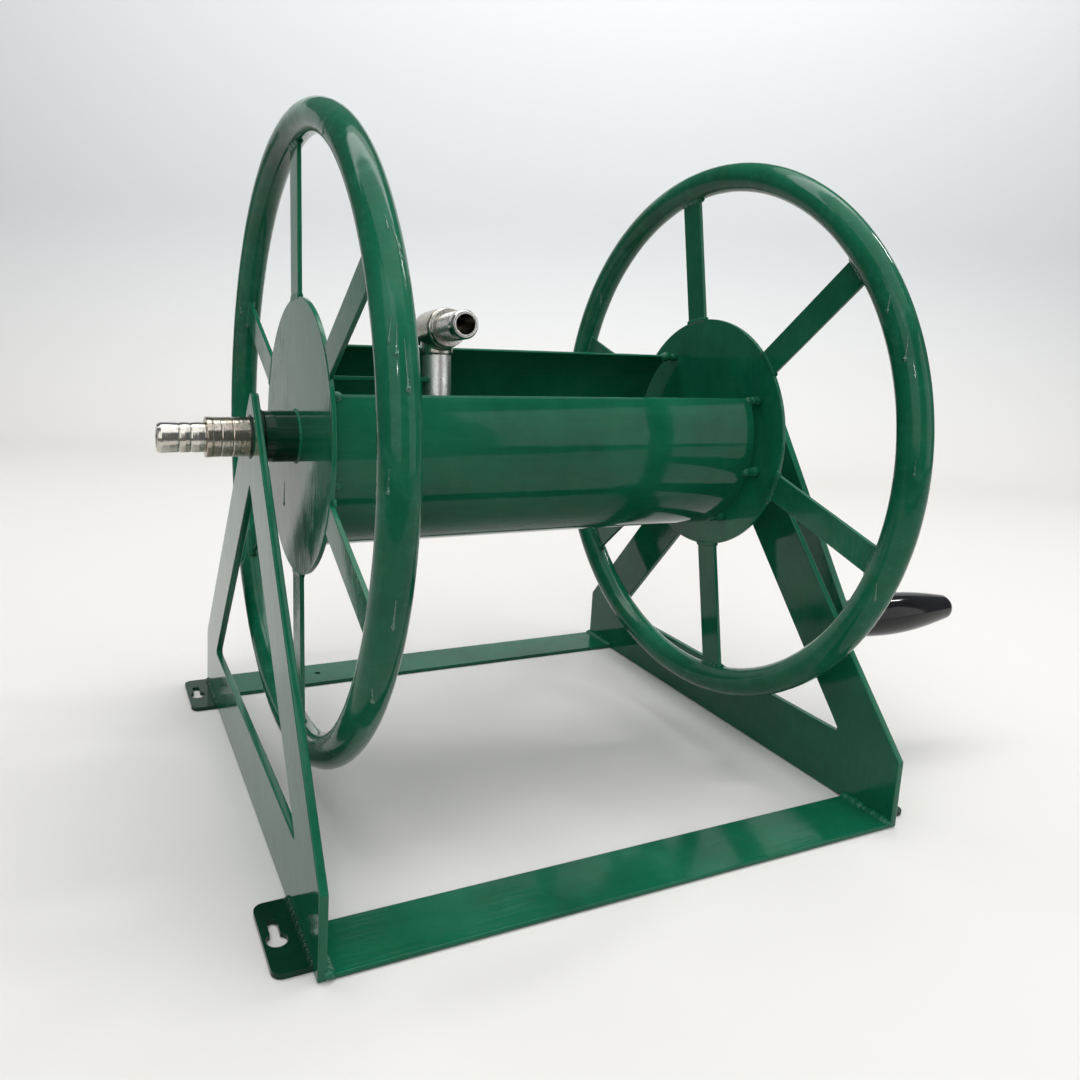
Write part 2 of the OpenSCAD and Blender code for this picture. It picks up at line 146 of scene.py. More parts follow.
# painted shade: the hub tubes and the ears get a darker green that stands in for the shade they sit in
shadedHubPaint = {**enamelPaint, "deep": (0.0015, 0.022, 0.011), "body": (0.0022, 0.036, 0.018),
            "thin": (0.004, 0.050, 0.026)}


def enamelMaterial(name, brush, brushDepth, roughLow=0.05, roughHigh=0.13, mottle=0.12, lumps=1.0, nibs=0.35,
                   gloss=0.25, paint=enamelPaint):
    material, tree, shader = newMaterial(name)
    cloud = noiseValue(tree, evenly, paint["cloudSize"], 4.0, 0.6)
    streak = noiseValue(tree, brush, 1.0, 3.0, 0.6, 0.9)
    depth = addNode(tree, "ShaderNodeMath", {0: streak, 1: paint["streakShare"], 2: cloud},
                    operation="MULTIPLY_ADD").outputs[0]
    tone = mixedColor(tree, mapped(tree, depth, paint["deepToBody"], (0, 1)), paint["deep"], paint["body"])
    tone = mixedColor(tree, mapped(tree, depth, paint["bodyToThin"], (0, 1)), tone, paint["thin"])
    bloom = noiseValue(tree, evenly, paint["bloomSize"], 6.0, 0.7, 0.2)
    tone = mixedColor(tree, mapped(tree, bloom, paint["bloomRange"], (0, mottle)), tone, paint["pale"])
    aged = noiseValue(tree, paint["ageScale"], paint["ageSize"], 5.0, 0.65)
    tone = mixedColor(tree, mapped(tree, aged, paint["ageRange"], (0, mottle)), tone, paint["olive"])
    tree.links.new(tone, shader.inputs["Base Color"])
    wear = noiseValue(tree, evenly, paint["wearSize"], 3.0)
    tree.links.new(mapped(tree, wear, paint["wearRange"], (roughLow, roughHigh)), shader.inputs["Roughness"])
    # dust nibs in places, brush marks in patches, then sags and orange peel
    specks = addNode(tree, "ShaderNodeTexVoronoi", {
        "Vector": objectPattern(tree, evenly), "Scale": paint["speckSize"]}).outputs["Distance"]
    dust = mapped(tree, specks, paint["speckRange"], (1, 0))
    rarity = mapped(tree, noiseValue(tree, evenly, paint["spreadSize"], 2.0), paint["spreadRange"], (0, 1))
    nib = addNode(tree, "ShaderNodeMath", {0: dust, 1: rarity}, operation="MULTIPLY").outputs[0]
    patches = mapped(tree, noiseValue(tree, evenly, paint["patchSize"], 2.0), paint["patchRange"],
                     (paint["patchLow"], 1))
    brushed = addNode(tree, "ShaderNodeMath", {0: streak, 1: patches}, operation="MULTIPLY").outputs[0]
    peel = noiseValue(tree, evenly, paint["peelSize"], 2.0, 0.5)
    sag = noiseValue(tree, evenly, paint["sagSize"], 2.0, 0.5)
    marks = [(brushed, brushDepth, paint["brushHeight"]), (sag, paint["sagDepth"] * lumps, paint["sagHeight"]),
             (peel, paint["peelDepth"] * lumps, paint["peelHeight"]), (nib, nibs * lumps, paint["nibHeight"])]
    tree.links.new(bumpChain(tree, marks), shader.inputs["Normal"])
    shader.inputs["IOR"].default_value = paint["refraction"]
    shader.inputs["Specular IOR Level"].default_value = gloss
    shader.inputs["Coat Weight"].default_value = paint["coat"]
    shader.inputs["Coat Roughness"].default_value = paint["coatRough"]
    return material


nickelPlate = {"bright": (0.64, 0.63, 0.60), "warm": (0.50, 0.44, 0.34), "dull": (0.30, 0.28, 0.24)}
wornPlate = {"bright": (0.43, 0.40, 0.345), "warm": (0.34, 0.265, 0.165), "dull": (0.18, 0.15, 0.11)}
drawnPlate = {"bright": (0.92, 0.92, 0.90), "warm": (0.72, 0.70, 0.65), "dull": (0.34, 0.33, 0.30)}
plating = {"cloudSize": 46.0, "warmRange": (0.42, 0.66), "warmShare": 0.8, "wearRange": (0.3, 0.75),
           "pitSize": 620.0, "pitRange": (0.6, 0.75), "pitDepth": 0.45, "pitHeight": 0.0003,
           "grainDepth": 0.12, "grainHeight": 0.0003}


def nickelMaterial(name, plate, grain, roughLow, roughHigh, pitting):
    material, tree, shader = newMaterial(name)
    cloud = noiseValue(tree, evenly, plating["cloudSize"], 4.0, 0.65)
    lines = noiseValue(tree, grain, 1.0, 2.0, 0.6)
    warmth = mapped(tree, cloud, plating["warmRange"], (0, plating["warmShare"]))
    tone = mixedColor(tree, warmth, plate["bright"], plate["warm"])
    pits = noiseValue(tree, evenly, plating["pitSize"], 2.0, 0.5)
    tone = mixedColor(tree, mapped(tree, pits, plating["pitRange"], (0, pitting)), tone, plate["dull"])
    tree.links.new(tone, shader.inputs["Base Color"])
    tree.links.new(mapped(tree, cloud, plating["wearRange"], (roughLow, roughHigh)), shader.inputs["Roughness"])
    marks = [(lines, plating["grainDepth"], plating["grainHeight"]),
             (pits, plating["pitDepth"] * pitting, plating["pitHeight"])]
    tree.links.new(bumpChain(tree, marks), shader.inputs["Normal"])
    shader.inputs["Metallic"].default_value = 1.0
    return material


turnedSteel = {"bright": (0.52, 0.53, 0.54), "stained": (0.30, 0.28, 0.25), "cloudSize": 60.0,
               "stainRange": (0.5, 0.75), "stainShare": 0.7, "wearRange": (0.3, 0.75), "rough": (0.22, 0.42),
               "grain": (2400, 30, 30), "grainDepth": 0.15, "grainHeight": 0.0002}


def steelMaterial(name):
    make = turnedSteel
    material, tree, shader = newMaterial(name)
    cloud = noiseValue(tree, evenly, make["cloudSize"], 4.0, 0.65)
    lines = noiseValue(tree, make["grain"], 1.0, 2.0)
    stain = mapped(tree, cloud, make["stainRange"], (0, make["stainShare"]))
    tree.links.new(mixedColor(tree, stain, make["bright"], make["stained"]), shader.inputs["Base Color"])
    tree.links.new(mapped(tree, cloud, make["wearRange"], make["rough"]), shader.inputs["Roughness"])
    tree.links.new(bumpChain(tree, [(lines, make["grainDepth"], make["grainHeight"])]), shader.inputs["Normal"])
    shader.inputs["Metallic"].default_value = 1.0
    return material


mouldedPlastic = {"cloudSize": 28.0, "toneRange": (0.35, 0.7), "wearRange": (0.3, 0.7), "grainHeight": 0.0003,
                  "gloss": 0.2, "coatRough": 0.05}


def plasticMaterial(name, dark, light, roughLow, roughHigh, grainSize, grainDepth, coat):
    make = mouldedPlastic
    material, tree, shader = newMaterial(name)
    cloud = noiseValue(tree, evenly, make["cloudSize"], 4.0, 0.6)
    grain = noiseValue(tree, evenly, grainSize, 2.0, 0.5)
    tone = mixedColor(tree, mapped(tree, cloud, make["toneRange"], (0, 1)), dark, light)
    tree.links.new(tone, shader.inputs["Base Color"])
    tree.links.new(mapped(tree, cloud, make["wearRange"], (roughLow, roughHigh)), shader.inputs["Roughness"])
    tree.links.new(bumpChain(tree, [(grain, grainDepth, make["grainHeight"])]), shader.inputs["Normal"])
    shader.inputs["Specular IOR Level"].default_value = make["gloss"]
    shader.inputs["Coat Weight"].default_value = coat
    shader.inputs["Coat Roughness"].default_value = make["coatRough"]
    return material


enamelUpright = enamelMaterial("enamelUpright", (480, 480, 34), 0.34, nibs=0.1)  # brushed up and down
enamelLong = enamelMaterial("enamelLong", (9, 170, 170), 0.1, gloss=0.18)  # brushed along the bar
enamelRail = enamelMaterial("enamelRail", (12, 260, 260), 0.3, roughLow=0.1, roughHigh=0.22, gloss=0.15)
enamelTube = enamelMaterial("enamelTube", (38, 38, 38), 0.3, roughLow=0.06, roughHigh=0.2, mottle=0.36,
                            lumps=3.2, nibs=0.2, gloss=0.16)
# painted shade: darker paint for the hub tubes, the ears and the ear welds
enamelHubShade = enamelMaterial("enamelHubShade", (9, 170, 170), 0.1, mottle=0.04, gloss=0.15, paint=shadedHubPaint)
enamelRun = enamelMaterial("enamelRun", (38, 38, 38), 0.1, roughLow=0.03, roughHigh=0.06, lumps=0.5,
                           nibs=0.1, gloss=1.0)  # thick and glossy
enamelWeld = enamelMaterial("enamelWeld", (420, 420, 420), 0.3, roughLow=0.18, roughHigh=0.36)
nickelTurned = nickelMaterial("nickelTurned", nickelPlate, (2600, 40, 40), 0.12, 0.24, pitting=0.5)
nickelWorn = nickelMaterial("nickelWorn", wornPlate, (1400, 60, 60), 0.14, 0.28, pitting=0.8)
nickelCast = nickelMaterial("nickelCast", nickelPlate, (300, 300, 300), 0.14, 0.3, pitting=0.7)
nickelDrawn = nickelMaterial("nickelDrawn", drawnPlate, (1500, 1500, 14), 0.3, 0.46, pitting=0.8)
zincSteel = steelMaterial("zincSteel")
blackGrip = plasticMaterial("blackGrip", (0.007, 0.007, 0.008), (0.014, 0.014, 0.016), 0.06, 0.16,
                            grainSize=240.0, grainDepth=0.05, coat=0.1)
darkBush = plasticMaterial("darkBush", (0.005, 0.018, 0.011), (0.008, 0.034, 0.019), 0.3, 0.45,
                           grainSize=400.0, grainDepth=0.15, coat=0.0)
sealRubber = plasticMaterial("sealRubber", (0.012, 0.012, 0.012), (0.022, 0.022, 0.022), 0.6, 0.75,
                             grainSize=700.0, grainDepth=0.2, coat=0.0)
print("materials made:", len(bpy.data.materials))


# making pieces
def addPiece(name, mesh, material, body, slotName, *replaced):
    piece = bpy.data.objects.new(name, mesh)
    scene.collection.objects.link(piece)
    if material:
        mesh.materials.clear()
        mesh.materials.append(material)
    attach(piece, body)
    if replaced:
        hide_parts(*replaced)
    return piece


def finishedMesh(mesh, *modifiers):
    holder = bpy.data.objects.new("holder", mesh)
    scene.collection.objects.link(holder)
    for kind, settings in modifiers:
        modifier = holder.modifiers.new(kind, kind)
        for key, value in settings.items():
            setattr(modifier, key, value)
    graph = bpy.context.evaluated_depsgraph_get()
    result = bpy.data.meshes.new_from_object(holder.evaluated_get(graph))
    bpy.data.objects.remove(holder)
    return result


evenNormals = ("WEIGHTED_NORMAL", {"weight": 100, "keep_sharp": False})


def mergedCopy(node, within=2e-6):
    bm = bmesh.new()
    bm.from_mesh(nodes[node].data)
    bmesh.ops.remove_doubles(bm, verts=bm.verts, dist=within)
    return bm


# a bar or plate with the soft edge that thick paint gives it
def softEdgedMesh(node, width, steps=2, edgeAngle=28, flatAngle=0.2):
    bm = mergedCopy(node)
    bmesh.ops.dissolve_limit(bm, angle_limit=math.radians(flatAngle), verts=bm.verts, edges=bm.edges)
    sharp = [edge for edge in bm.edges
             if len(edge.link_faces) == 2 and edge.calc_face_angle() > math.radians(edgeAngle)]
    bmesh.ops.bevel(bm, geom=sharp, offset=width, offset_type="OFFSET", segments=steps,
                    profile=0.5, affect="EDGES", clamp_overlap=True)
    mesh = bpy.data.meshes.new(node + "Soft")
    bm.to_mesh(mesh)
    bm.free()
    mesh.shade_smooth()
    return finishedMesh(mesh, evenNormals)


def lathedMesh(profile, origin, axis, steps=96):
    axis = Vector(axis).normalized()
    side = axis.orthogonal().normalized()
    up = axis.cross(side)
    turns = [(math.cos(2 * math.pi * i / steps), math.sin(2 * math.pi * i / steps)) for i in range(steps)]
    bm = bmesh.new()
    rings = [[bm.verts.new(origin + axis * along + (side * c + up * s) * radius) for c, s in turns]
             for along, radius in profile]
    for ringA, ringB in zip(rings, rings[1:] + rings[:1]):
        for i in range(steps):
            j = (i + 1) % steps
            bm.faces.new((ringA[i], ringA[j], ringB[j], ringB[i]))
    bmesh.ops.recalc_face_normals(bm, faces=bm.faces)
    mesh = bpy.data.meshes.new("lathed")
    bm.to_mesh(mesh)
    bm.free()
    mesh.shade_smooth()
    return finishedMesh(mesh, evenNormals)


# closed outline with each corner turned into a short arc
def roundedOutline(points, radius, steps=3, share=0.45):
    outline = []
    count = len(points)
    for i, here in enumerate(points):
        here = Vector(here)
        toLast = Vector(points[i - 1]) - here
        toNext = Vector(points[(i + 1) % count]) - here
        reach = min(radius, share * toLast.length, share * toNext.length)
        first = here + toLast.normalized() * reach
        last = here + toNext.normalized() * reach
        for k in range(steps + 1):
            t = k / steps
            outline.append(tuple((1 - t) ** 2 * first + 2 * t * (1 - t) * here + t * t * last))
    return outline


# frame: plates, rails, ears and bushes
frameBars = {"plateEdge": 0.0008, "railEdge": 0.0009, "earEdge": 0.0007, "bushEdge": 0.0004}
for side in sides:
    addPiece(side + "Plate", softEdgedMesh(side + "_side_plate", frameBars["plateEdge"]),
             enamelUpright, "frame", "enamel", side + "_side_plate")
    for end in ("front", "rear"):
        node = f"{end}_{side}_ear"
        # the ears take the painted shade
        addPiece(f"{end}{side.title()}Ear", softEdgedMesh(node, frameBars["earEdge"]),
                 enamelHubShade, "frame", "enamel", node)
for end in ("front", "rear"):
    addPiece(end + "Rail", softEdgedMesh(end + "_rail", frameBars["railEdge"]),
             enamelRail, "frame", "enamel", end + "_rail")
for side in sides:
    addPiece(side + "Bearing", softEdgedMesh(side + "_bush", frameBars["bushEdge"]),
             darkBush, "frame", "bush", side + "_bush")
print("frame pieces made")

# wheels: bent tube, disc, hub tube and spokes
wheelMake = {"ringSteps": 224, "tubeSteps": 32, "inset": 0.00003, "waver": 0.00012, "waverSize": 55.0,
             "barEdge": 0.0006, "spokes": 6, "spokeWidth": 0.020, "spokeHalf": 0.0015}


def rimMesh(side):
    make = wheelMake
    steps, rounds = make["ringSteps"], make["tubeSteps"]
    bm = bmesh.new()
    rings = []
    for i in range(steps):
        turn = 2 * math.pi * i / steps
        ring = []
        for k in range(rounds):
            roll = 2 * math.pi * k / rounds
            outward = Vector((math.sin(roll), math.cos(roll) * math.sin(turn), math.cos(roll) * math.cos(turn)))
            hub = Vector((wheelX[side], rimRadius * math.sin(turn), rimRadius * math.cos(turn)))
            # hand brushed paint is never quite even
            waver = abs(noise.noise((hub + outward * tubeRadius) * make["waverSize"])) * make["waver"]
            uneven = make["inset"] + waver
            ring.append(bm.verts.new(reelMatrix @ (hub + outward * (tubeRadius - uneven))))
        rings.append(ring)
    for i in range(steps):
        ringA, ringB = rings[i], rings[(i + 1) % steps]
        for k in range(rounds):
            m = (k + 1) % rounds
            bm.faces.new((ringA[k], ringA[m], ringB[m], ringB[k]))
    bmesh.ops.recalc_face_normals(bm, faces=bm.faces)
    mesh = bpy.data.meshes.new(side + "RimTube")
    bm.to_mesh(mesh)
    bm.free()
    mesh.shade_smooth()
    return mesh


for side in sides:
    addPiece(side + "RimTube", rimMesh(side), enamelTube, "reel", "enamel", side + "_rim")
    addPiece(side + "HubDisc", softEdgedMesh(side + "_disc", wheelMake["barEdge"]),
             enamelUpright, "reel", "enamel", side + "_disc")
    # the hub tubes take the painted shade
    addPiece(side + "HubSleeve", softEdgedMesh(side + "_sleeve", wheelMake["barEdge"]),
             enamelHubShade, "reel", "enamel", side + "_sleeve")
    for i in range(1, wheelMake["spokes"] + 1):
        node = f"{side}_spoke_{i}"
        addPiece(f"{side}Spoke{i}", softEdgedMesh(node, wheelMake["barEdge"]),
                 enamelUpright, "reel", "enamel", node)
print("wheels made")

# drum: a rolled sheet, open along its mouth (lips in degrees above level)
drumSheet = {"radius": 0.0725, "thickness": 0.002, "frontLip": 22, "rearLip": 62, "arcSteps": 150,
             "lengthSteps": 60, "waver": 0.00028, "waveAlong": 9, "waveRound": 1.6, "waveSlice": 3.0,
             "edge": 0.0005, "edgeAngle": 50}


def drumMesh():
    make = drumSheet
    left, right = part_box("drum_shell")[0].x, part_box("drum_shell")[1].x
    start = math.radians(180 - make["frontLip"])  # from the front lip, under the axle, to the rear lip
    arc = math.radians(180 + make["frontLip"] + make["rearLip"])
    middle = make["radius"] - make["thickness"] / 2
    bm = bmesh.new()
    grid = []
    for i in range(make["arcSteps"] + 1):
        turn = start + arc * i / make["arcSteps"]
        row = []
        for k in range(make["lengthSteps"] + 1):
            x = left + (right - left) * k / make["lengthSteps"]
            # shallow waves left by the rolling
            spot = Vector((x * make["waveAlong"], turn * make["waveRound"], make["waveSlice"]))
            radius = middle - abs(noise.noise(spot)) * make["waver"]
            row.append(bm.verts.new(onReel(x, radius * math.cos(turn), radius * math.sin(turn))))
        grid.append(row)
    for rowA, rowB in zip(grid, grid[1:]):
        for k in range(make["lengthSteps"]):
            bm.faces.new((rowA[k], rowA[k + 1], rowB[k + 1], rowB[k]))
    mesh = bpy.data.meshes.new("drumSheet")
    bm.to_mesh(mesh)
    bm.free()
    mesh.shade_smooth()
    return finishedMesh(
        mesh,
        ("SOLIDIFY", {"thickness": make["thickness"], "offset": 0.0, "use_even_offset": True}),
        ("BEVEL", {"width": make["edge"], "segments": 2, "limit_method": "ANGLE",
                   "angle_limit": math.radians(make["edgeAngle"])}),
        evenNormals)


addPiece("drumSheet", drumMesh(), enamelLong, "reel", "enamel", "drum_shell")
print("drum made")

# axle, crank and riser: edge width, finish and slot of each
reelBars = {
    "axle_pipe": (0.0003, zincSteel, "steel"), "spindle": (0.0006, enamelLong, "enamel"),
    "riser_pipe": (0.0003, nickelDrawn, "nickel"), "riser_stay": (0.0005, enamelLong, "enamel"),
    "crank_arm": (0.0007, enamelUpright, "enamel"), "grip_pin": (0.0006, zincSteel, "steel"),
    "grip_washer": (0.0003, zincSteel, "steel"), "grip_nut": (0.0005, zincSteel, "steel"),
}
for node, (width, material, slotName) in reelBars.items():
    words = node.split("_")
    addPiece(words[0] + words[1].title() if len(words) > 1 else words[0] + "Bar",
             softEdgedMesh(node, width), material, "reel", slotName, node)

castElbow = {"voxel": 0.0007, "smoothing": 6, "strength": 0.5}
for node, material, slotName in (("axle_elbow", zincSteel, "steel"), ("outlet_elbow", nickelCast, "nickel")):
    bm = mergedCopy(node)
    mesh = bpy.data.meshes.new(node + "Cast")
    bm.to_mesh(mesh)
    bm.free()
    mesh = finishedMesh(
        mesh,
        ("REMESH", {"mode": "VOXEL", "voxel_size": castElbow["voxel"], "use_smooth_shade": True}),
        ("SMOOTH", {"factor": castElbow["strength"], "iterations": castElbow["smoothing"]}))
    addPiece(node.split("_")[0] + "Elbow", mesh, material, "reel", slotName, node)

hoseNipple = {"rise": 0.0735, "radius": 0.00975, "bore": 0.00675, "spigot": 0.009, "flange": 0.013,
              "face": 0.019, "flangeEnd": 0.023, "nose": 0.050, "seat": 0.010, "ridge": 0.0004, "pitch": 0.0016,
              "ringRise": 0.0003, "ringTop": 0.0009, "ringFall": 0.0011, "plainEnd": 0.009, "shoulder": 0.0006,
              "chamferLength": 0.0016, "chamfer": 0.0012, "rounding": 0.0004, "steps": 72}
outletAxis = reelMatrix.to_3x3() @ Vector((0, -1, 0))
outletRoot = onReel(sum(corner.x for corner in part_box("riser_pipe")) / 2, 0, hoseNipple["rise"])


def nippleMesh():
    make = hoseNipple
    root, low = make["face"] - make["seat"], make["radius"] - make["ridge"]
    outline = [(root, make["bore"]), (root, make["spigot"]), (make["face"], make["spigot"]),
               (make["face"], make["flange"]), (make["flangeEnd"], make["flange"]), (make["flangeEnd"], low)]
    place = make["flangeEnd"] + make["pitch"]
    while place < make["nose"] - make["plainEnd"]:  # shallow rings that grip the hose
        outline += [(place, low), (place + make["ringRise"], make["radius"]),
                    (place + make["ringTop"], make["radius"]), (place + make["ringFall"], low)]
        place += make["pitch"]
    outline += [(place + make["shoulder"], make["radius"]),
                (make["nose"] - make["chamferLength"], make["radius"]),
                (make["nose"], make["radius"] - make["chamfer"]), (make["nose"], make["bore"])]
    return lathedMesh(roundedOutline(outline, make["rounding"], 2), outletRoot, outletAxis, make["steps"])


addPiece("outletNipple", nippleMesh(), nickelTurned, "reel", "nickel", "outlet_nipple")
print("water way made")

# inlet swivel
swivelCollar = {"radius": 0.013, "bore": 0.0107, "hole": 0.00805, "scores": (0.011, 0.018),
                "scoreDepth": 0.0005, "scoreWidth": 0.0009, "relief": 0.0002, "lipFoot": 0.0042, "lip": 0.003,
                "wall": 0.0065, "rounding": 0.0005}
hoseBarb = {"radius": 0.00975, "bore": 0.006, "spigot": 0.008, "tip": 0.0022, "tipTaper": 0.55,
            "rings": (0.0092, 0.0162), "groove": 0.0007, "grooveWidth": 0.0011, "swell": 0.00022,
            "rounding": 0.0004}
collarLow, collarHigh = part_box("swivel_collar")
inletAxis = Vector((-1, 0, 0))
inletRoot = Vector((collarHigh.x, axle.y, axle.z))
collarLength = collarHigh.x - collarLow.x


def collarMesh():
    make = swivelCollar
    body, half = make["radius"] - make["relief"], make["scoreWidth"] / 2
    outline = [(0, make["bore"]), (0, body)]
    for place in make["scores"]:
        outline += [(place - half, body), (place, make["radius"] - make["scoreDepth"]), (place + half, body)]
    outline += [(collarLength - make["lipFoot"], body), (collarLength - make["lip"], make["radius"]),
                (collarLength, make["radius"]), (collarLength, make["hole"]),
                (collarLength - make["wall"], make["hole"]), (collarLength - make["wall"], make["bore"])]
    return lathedMesh(roundedOutline(outline, make["rounding"]), inletRoot, inletAxis)


def barbMesh():
    make = hoseBarb
    start, end = collarLength, inletRoot.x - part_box("hose_barb")[0].x
    root = start - swivelCollar["wall"]
    outline = [(root, make["bore"]), (root, make["spigot"]), (start, make["spigot"])]
    marks = [0.0, *make["rings"], end - start]
    half, last = make["grooveWidth"] / 2, len(make["rings"])
    for k in range(last + 1):  # lands between the rings, each slightly barrelled
        low = start + marks[k] + (half if k else 0)
        high = start + marks[k + 1] - (half if k < last else make["tip"])
        outline += [(low, make["radius"] - make["swell"]), ((low + high) / 2, make["radius"]),
                    (high, make["radius"] - make["swell"] * (k < last))]
        if k < last:
            outline += [(start + marks[k + 1], make["radius"] - make["groove"])]
    outline += [(end, make["radius"] - make["tip"] * make["tipTaper"]), (end, make["bore"])]
    return lathedMesh(roundedOutline(outline, make["rounding"]), inletRoot, inletAxis)


addPiece("swivelCollar", collarMesh(), nickelWorn, "inlet", "nickel", "swivel_collar")
addPiece("hoseBarb", barbMesh(), nickelTurned, "inlet", "nickel", "hose_barb")
for node, material in (("swivel_seals", sealRubber), ("swivel_clip", zincSteel)):
    nodes[node].data.materials.clear()
    nodes[node].data.materials.append(material)
print("inlet made")

# crank grip
crankGrip = {"root": 0.013, "tip": 0.0095, "swell": 0.00525, "bore": 0.00505, "recess": 0.0075,
             "recessEdge": 0.0006, "headDepth": 0.006, "steps": 48, "rounding": 0.0012}


def gripMesh():
    make = crankGrip
    low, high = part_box("crank_grip")
    length = high.x - low.x
    outline = [(0, make["bore"])]
    for i in range(make["steps"] + 1):
        t = i / make["steps"]
        radius = make["root"] * (1 - t) + make["tip"] * t + make["swell"] * math.sin(math.pi * t)
        ease = min(t, 1 - t) * length / make["rounding"]
        if ease < 1:  # rounded shoulders at both ends
            radius -= make["rounding"] * (1 - math.sqrt(max(0.0, 1 - (1 - ease) ** 2)))
        outline.append((t * length, radius))
    outline += [(length, make["recess"] + make["recessEdge"]), (length - make["recessEdge"], make["recess"]),
                (length - make["headDepth"], make["recess"]), (length - make["headDepth"], make["bore"])]
    return lathedMesh(outline, Vector((low.x, gripAxis.y, gripAxis.z)), (1, 0, 0))


addPiece("crankGrip", gripMesh(), blackGrip, "grip", "grip", "crank_grip")
print("grip made")


# weld beads, laid along the joints by a node tree
def newTree(name, sockets):
    tree = bpy.data.node_groups.new(name, "GeometryNodeTree")
    tree.interface.new_socket("Geometry", in_out="INPUT", socket_type="NodeSocketGeometry")
    for label, kind in sockets:
        tree.interface.new_socket(label, in_out="INPUT", socket_type=kind)
    tree.interface.new_socket("Geometry", in_out="OUTPUT", socket_type="NodeSocketGeometry")
    return tree, tree.nodes.new("NodeGroupInput").outputs, tree.nodes.new("NodeGroupOutput").inputs


# smooths, paints and hands over what a tree has made
def endTree(tree, made, given, result):
    real = addNode(tree, "GeometryNodeRealizeInstances", {"Geometry": made.outputs[0]})
    smooth = addNode(tree, "GeometryNodeSetShadeSmooth", {"Geometry": real.outputs[0]})
    painted = addNode(tree, "GeometryNodeSetMaterial", {
        "Geometry": smooth.outputs[0], "Material": given["Finish"]})
    tree.links.new(painted.outputs[0], result["Geometry"])
    return tree


def weldBeadTree(overlap):
    tree, given, result = newTree("weldBead", [
        ("Spacing", "NodeSocketFloat"), ("Width", "NodeSocketFloat"), ("Height", "NodeSocketFloat"),
        ("Unevenness", "NodeSocketFloat"), ("Seed", "NodeSocketInt"), ("Finish", "NodeSocketMaterial")])
    line = addNode(tree, "GeometryNodeMeshToCurve", {"Mesh": given["Geometry"]})
    steps = addNode(tree, "GeometryNodeResampleCurve", {"Curve": line.outputs[0], "Length": given["Spacing"]},
                    mode="LENGTH")
    facing = addNode(tree, "GeometryNodeInputNamedAttribute", {"Name": "beadUp"}, data_type="FLOAT_VECTOR")
    standing = addNode(tree, "FunctionNodeAlignRotationToVector", {"Vector": facing.outputs[0]}, axis="Z")
    along = addNode(tree, "GeometryNodeInputTangent")
    turned = addNode(tree, "FunctionNodeAlignRotationToVector", {
        "Rotation": standing.outputs[0], "Vector": along.outputs[0]}, axis="X", pivot_axis="Z")
    less = addNode(tree, "ShaderNodeMath", {0: 1.0, 1: given["Unevenness"]}, operation="SUBTRACT")
    more = addNode(tree, "ShaderNodeMath", {0: 1.0, 1: given["Unevenness"]}, operation="ADD")
    varied = addNode(tree, "FunctionNodeRandomValue", {
        2: less.outputs[0], 3: more.outputs[0], "Seed": given["Seed"]}, data_type="FLOAT")
    longer = addNode(tree, "ShaderNodeMath", {0: given["Spacing"], 1: overlap}, operation="MULTIPLY")
    size = addNode(tree, "ShaderNodeCombineXYZ", {
        "X": longer.outputs[0], "Y": given["Width"], "Z": given["Height"]})
    scaled = addNode(tree, "ShaderNodeVectorMath", {0: size.outputs[0], 3: varied.outputs[1]},
                     operation="SCALE")
    ripple = addNode(tree, "GeometryNodeMeshIcoSphere", {"Radius": 1.0, "Subdivisions": 2})
    laid = addNode(tree, "GeometryNodeInstanceOnPoints", {
        "Points": steps.outputs[0], "Instance": ripple.outputs[0],
        "Rotation": turned.outputs[0], "Scale": scaled.outputs[0]})
    return endTree(tree, laid, given, result)


def pathMesh(paths, attribute):
    mesh = bpy.data.meshes.new("paths")
    points, edges, values = [], [], []
    for path in paths:
        first = len(points)
        points += [tuple(point) for point, value in path]
        values += [value for point, value in path]
        edges += [(first + i, first + i + 1) for i in range(len(path) - 1)]
    mesh.from_pydata(points, edges, [])
    if attribute == "beadUp":
        data = mesh.attributes.new(attribute, "FLOAT_VECTOR", "POINT").data
        data.foreach_set("vector", [number for value in values for number in value])
    else:
        mesh.attributes.new(attribute, "FLOAT", "POINT").data.foreach_set("value", values)
    return mesh


def grownMesh(tree, paths, attribute, inputs):
    holder = bpy.data.objects.new("holder", pathMesh(paths, attribute))
    scene.collection.objects.link(holder)
    modifier = holder.modifiers.new("grow", "NODES")
    modifier.node_group = tree
    for item in tree.interface.items_tree:
        if item.in_out == "INPUT" and item.name in inputs:
            modifier[item.identifier] = inputs[item.name]
    graph = bpy.context.evaluated_depsgraph_get()
    mesh = bpy.data.meshes.new_from_object(holder.evaluated_get(graph))
    holder.modifiers.clear()
    bpy.data.objects.remove(holder)
    return mesh


# the beads of each kind of joint
weldBeads = {
    "rail": {"Spacing": 0.0023, "Width": 0.0036, "Height": 0.0021, "Unevenness": 0.25, "Seed": 3},
    "ear": {"Spacing": 0.0022, "Width": 0.0024, "Height": 0.0019, "Unevenness": 0.2, "Seed": 7},
    "spoke": {"Spacing": 0.0022, "Width": 0.0026, "Height": 0.0014, "Unevenness": 0.25, "Seed": 8},
    "fillet": {"Spacing": 0.0012, "Width": 0.0021, "Height": 0.0005, "Unevenness": 0.12, "Seed": 21},
    "sleeve": {"Spacing": 0.0021, "Width": 0.0021, "Height": 0.0011, "Unevenness": 0.22, "Seed": 5},
    "leftTack": {"Spacing": 0.0030, "Width": 0.0036, "Height": 0.0033, "Unevenness": 0.2, "Seed": 15},
    "rightTack": {"Spacing": 0.0030, "Width": 0.0036, "Height": 0.0033, "Unevenness": 0.2, "Seed": 16},
}
